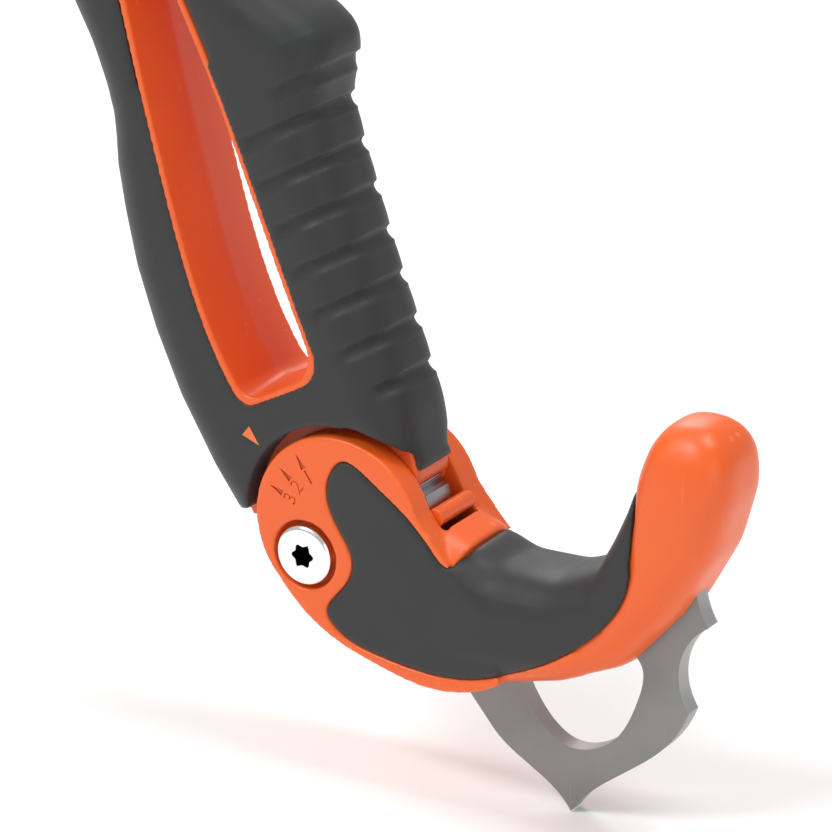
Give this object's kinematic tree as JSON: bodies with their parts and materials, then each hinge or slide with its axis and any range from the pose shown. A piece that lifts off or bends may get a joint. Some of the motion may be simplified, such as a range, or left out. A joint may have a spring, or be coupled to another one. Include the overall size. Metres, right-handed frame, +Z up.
{
  "type": "ice axe",
  "caption": "Short technical ice axe: bowed shaft, forged head with pick and hammer, offset loop grip, and a hinged hand rest with a bottom spike.",
  "frame": {"origin": "centre of the hand grip, on the tool's middle plane", "axes": "+Z up from the spike to the head, +X towards the point of the pick and the horn of the hand rest, Y across the tool"},
  "size_m": [0.2122, 0.0306, 0.504],
  "materials": {
    "cover_rubber": "soft moulded rubber, matt",
    "pad_rubber": "soft moulded rubber, matt",
    "orange_core": "moulded nylon, satin",
    "orange_rest": "moulded nylon, satin",
    "mark_orange": "moulded nylon",
    "rack_steel": "ground steel",
    "spike_steel": "blasted steel",
    "screw_steel": "polished steel",
    "pin_steel": "turned steel",
    "nut_steel": "zinc plated steel",
    "shaft_alloy": "dark anodised alloy",
    "band_rubber": "textured rubber band",
    "head_alloy": "forged alloy, dark",
    "pick_steel": "blasted forged steel",
    "weight_steel": "steel",
    "hammer_steel": "forged steel"
  },
  "bodies": {
    "handle": {"handle_core": "orange_core", "grip_cover": "cover_rubber", "index_mark": "mark_orange", "rack": "rack_steel", "rack_pins": "pin_steel", "shaft": "shaft_alloy", "upper_grip": "band_rubber", "shaft_pins": "pin_steel", "head": "head_alloy", "head_bolts": "nut_steel", "head_nuts": "nut_steel", "head_rivets": "pin_steel", "pick": "pick_steel", "pick_weight_near": "weight_steel", "pick_weight_far": "weight_steel", "weight_screws": "nut_steel", "weight_nuts": "nut_steel", "hammer": "hammer_steel"},
    "hand_rest": {"handrest_body": "orange_rest", "handrest_pad": "pad_rubber", "index_rib": "orange_rest", "spike": "spike_steel", "spike_pins": "pin_steel", "pivot_pin": "pin_steel", "pivot_cap": "orange_rest", "clamp_nut": "nut_steel"},
    "clamp_screw": {"clamp_screw": "screw_steel"}
  },
  "joints": [
    {"name": "hand_rest_size", "type": "hinge", "parent": "handle", "child": "hand_rest", "pos_m": [0.02042, 0, -0.04186], "axis": [0, -1, 0], "range_deg": [-17, 17], "deforming": ["index_rib"]},
    {"name": "clamp_screw_turn", "type": "hinge", "parent": "hand_rest", "child": "clamp_screw", "pos_m": [0.01292, 0, -0.04886], "axis": [0, -1, 0], "continuous": true}
  ]
}
